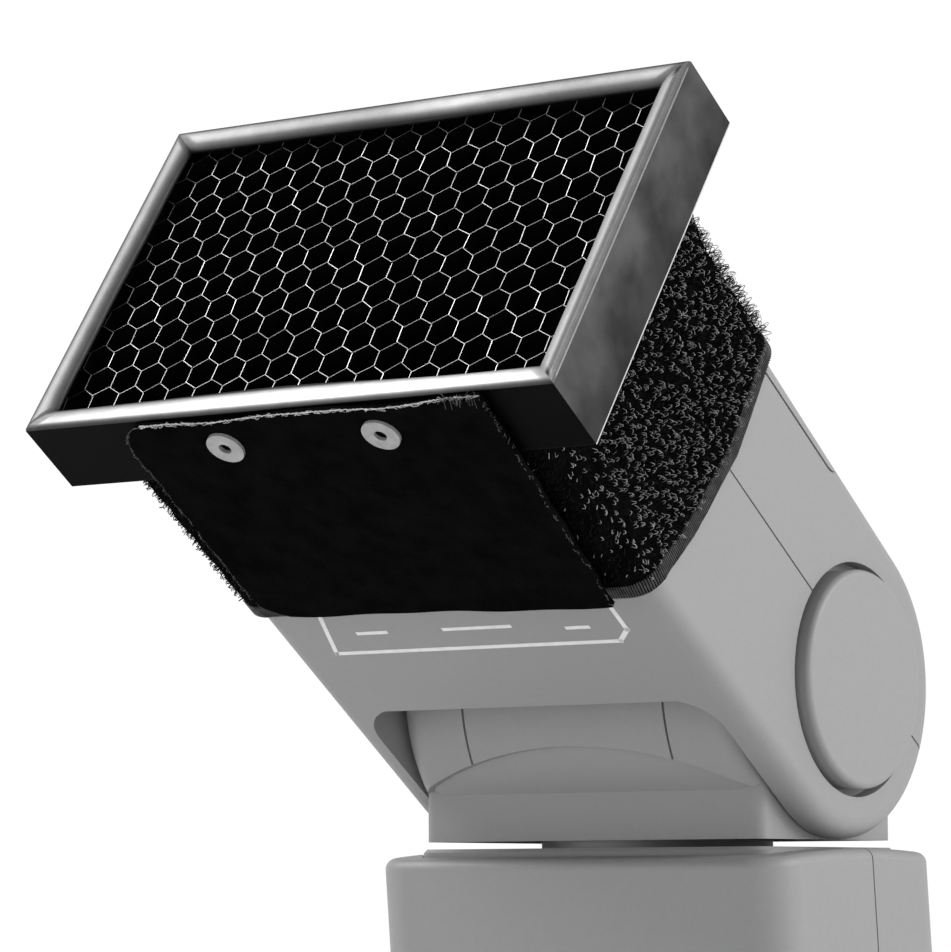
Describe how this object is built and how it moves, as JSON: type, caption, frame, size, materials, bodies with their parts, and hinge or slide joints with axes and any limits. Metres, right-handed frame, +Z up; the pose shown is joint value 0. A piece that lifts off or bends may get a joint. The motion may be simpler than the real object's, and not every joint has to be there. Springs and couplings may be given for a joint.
{
  "type": "speedlight flash with honeycomb grid",
  "caption": "Hot-shoe camera flash with a swivelling, tilting zoom head and a strapped-on honeycomb light grid.",
  "frame": {"origin": "centre of the hot-shoe foot's underside", "axes": "+Z up out of the shoe, front of the flash towards -Y, X across; the head is stored tilted 35.3 degrees above level"},
  "size_m": [0.091, 0.1258, 0.1967],
  "materials": {
    "shell_grey": "fine moulded grain",
    "moulding_black": "plain moulded",
    "steel": "turned or stamped",
    "contact_brass": "sprung contact strip",
    "window_red": "dark red translucent",
    "cell_jacket": "shrink sleeve",
    "board_green": "solder mask",
    "winding_copper": "varnished winding",
    "rubber_grey": "soft touch",
    "display_glass": "display stack",
    "clear_plastic": "clear moulded",
    "pilot_lens": "translucent amber",
    "wire_jacket": "stranded wires",
    "card_white": "white card",
    "reflector_chrome": "bright polished",
    "tube_glass": "quartz",
    "grid_black": "folded frame, soft edges",
    "core_black": "black foil cells",
    "loop_fabric": "hook and loop webbing",
    "rivet_grey": "satin"
  },
  "bodies": {
    "body": {"front_shell": "shell_grey", "rear_shell": "shell_grey", "neck_platform": "shell_grey", "shoe_block": "moulding_black", "shoe_foot": "steel", "foot_screws": "steel", "front_window": "window_red", "slave_sensor": "moulding_black", "battery_cage": "moulding_black", "battery_cells": "cell_jacket", "battery_contacts": "contact_brass", "main_capacitor": "cell_jacket", "main_board": "board_green", "charge_transformer": "winding_copper", "sync_jack": "moulding_black", "power_socket": "moulding_black", "control_board": "board_green", "lcd_panel": "display_glass", "lcd_window": "clear_plastic", "swivel_detent": "steel"},
    "neck": {"neck_block": "shell_grey", "swivel_ring": "steel", "tilt_shafts": "steel", "neck_loom": "wire_jacket"},
    "head": {"head_lower_shell": "shell_grey", "head_upper_shell": "shell_grey", "ear_discs": "shell_grey", "front_bezel": "moulding_black", "fresnel_lens": "clear_plastic", "wide_panel": "clear_plastic", "bounce_card": "card_white", "guide_rods": "steel", "zoom_motor": "moulding_black", "head_board": "board_green", "trigger_coil": "winding_copper"},
    "carriage": {"zoom_carriage": "moulding_black", "reflector": "reflector_chrome", "flash_tube": "tube_glass"},
    "screw": {"lead_screw": "steel"},
    "release": {"tilt_release": "rubber_grey"},
    "grid": {"grid_frame": "grid_black", "honeycomb_core": "core_black", "grid_band": "loop_fabric", "grid_flaps": "loop_fabric", "grid_rivets": "rivet_grey"},
    "lever": {"lock_lever": "moulding_black"},
    "locking_pin": {"lock_pin": "steel"},
    "hot_contact": {"centre_contact": "contact_brass"},
    "hinge_pin": {"door_pin": "steel"},
    "door": {"battery_door": "shell_grey", "door_contacts": "contact_brass"},
    "cover": {"port_cover": "rubber_grey"},
    "mode_key": {"key_mode": "rubber_grey"},
    "zoom_key": {"key_zoom": "rubber_grey"},
    "light_key": {"key_light": "rubber_grey"},
    "gimbal": {"pad_gimbal": "moulding_black"},
    "pad": {"select_pad": "rubber_grey"},
    "centre_key": {"set_key": "rubber_grey"},
    "test_button": {"pilot_button": "pilot_lens"},
    "power_switch": {"power_slider": "rubber_grey"}
  },
  "joints": [
    {"name": "head_swivel", "type": "hinge", "parent": "body", "child": "neck", "pos_m": [0, 0, 0.09], "axis": [0, 0, 1], "range_deg": [-180, 90]},
    {"name": "head_tilt", "type": "hinge", "parent": "neck", "child": "head", "pos_m": [0, 0, 0.1137], "axis": [-1, 0, 0], "range_deg": [-35.3, 54.7]},
    {"name": "grid_slide", "type": "slide", "parent": "head", "child": "grid", "axis": [0, -0.8161, 0.5779], "range_m": [0, 0.045]},
    {"name": "zoom_slide", "type": "slide", "parent": "head", "child": "carriage", "axis": [0, -0.8161, 0.5779], "range_m": [-0.007, 0.012]},
    {"name": "lead_screw_spin", "type": "hinge", "parent": "head", "child": "screw", "pos_m": [-0.0292, -0.05067, 0.13732], "axis": [0, -0.8161, 0.5779], "range_deg": [-850, 1450]},
    {"name": "tilt_release_press", "type": "slide", "parent": "head", "child": "release", "axis": [1, 0, 0], "range_m": [0, 0.0015], "stiffness_N_per_m": 900, "springref_m": -0.0006},
    {"name": "lock_lever_turn", "type": "hinge", "parent": "body", "child": "lever", "pos_m": [0, 0, 0.0063], "axis": [0, 0, 1], "range_deg": [0, 60]},
    {"name": "lock_pin_drop", "type": "slide", "parent": "body", "child": "locking_pin", "axis": [0, 0, -1], "range_m": [0, 0.0016]},
    {"name": "contact_press", "type": "slide", "parent": "body", "child": "hot_contact", "axis": [0, 0, 1], "range_m": [0, 0.0007], "stiffness_N_per_m": 700, "springref_m": -0.0004},
    {"name": "battery_door_slide", "type": "slide", "parent": "body", "child": "hinge_pin", "axis": [0, 0.0993, -0.9951], "range_m": [0, 0.003]},
    {"name": "battery_door_swing", "type": "hinge", "parent": "hinge_pin", "child": "door", "pos_m": [-0.0357, -0.01301, 0.03526], "axis": [0, -0.0993, 0.9951], "range_deg": [0, 100]},
    {"name": "port_cover_open", "type": "hinge", "parent": "body", "child": "cover", "pos_m": [0.0359, -0.01004, 0.0457], "axis": [0, 0.0993, -0.9951], "range_deg": [0, 97]},
    {"name": "mode_key_press", "type": "slide", "parent": "body", "child": "mode_key", "axis": [0, -0.9951, -0.0993], "range_m": [0, 0.0006], "stiffness_N_per_m": 900, "springref_m": -0.0006},
    {"name": "zoom_key_press", "type": "slide", "parent": "body", "child": "zoom_key", "axis": [0, -0.9951, -0.0993], "range_m": [0, 0.0006], "stiffness_N_per_m": 900, "springref_m": -0.0006},
    {"name": "light_key_press", "type": "slide", "parent": "body", "child": "light_key", "axis": [0, -0.9951, -0.0993], "range_m": [0, 0.0006], "stiffness_N_per_m": 900, "springref_m": -0.0006},
    {"name": "pad_rock_updown", "type": "hinge", "parent": "body", "child": "gimbal", "pos_m": [0, 0.02822, 0.03746], "axis": [1, 0, 0], "range_deg": [-2.5, 2.5], "stiffness_Nm_per_rad": 0.3},
    {"name": "pad_rock_leftright", "type": "hinge", "parent": "gimbal", "child": "pad", "pos_m": [0, 0.02822, 0.03746], "axis": [0, -0.0993, 0.9951], "range_deg": [-2.5, 2.5], "stiffness_Nm_per_rad": 0.3},
    {"name": "set_key_press", "type": "slide", "parent": "body", "child": "centre_key", "axis": [0, -0.9951, -0.0993], "range_m": [0, 0.0006], "stiffness_N_per_m": 900, "springref_m": -0.0006},
    {"name": "pilot_press", "type": "slide", "parent": "body", "child": "test_button", "axis": [0, -0.9951, -0.0993], "range_m": [0, 0.0006], "stiffness_N_per_m": 900, "springref_m": -0.0006},
    {"name": "power_switch_slide", "type": "slide", "parent": "body", "child": "power_switch", "axis": [0, -0.0993, 0.9951], "range_m": [0, 0.006]}
  ],
  "couplings": [
    {"joint": "lead_screw_spin", "follows": "zoom_slide", "rad_per_m": 2094.4},
    {"joint": "lock_pin_drop", "follows": "lock_lever_turn", "m_per_rad": 0.001528}
  ]
}
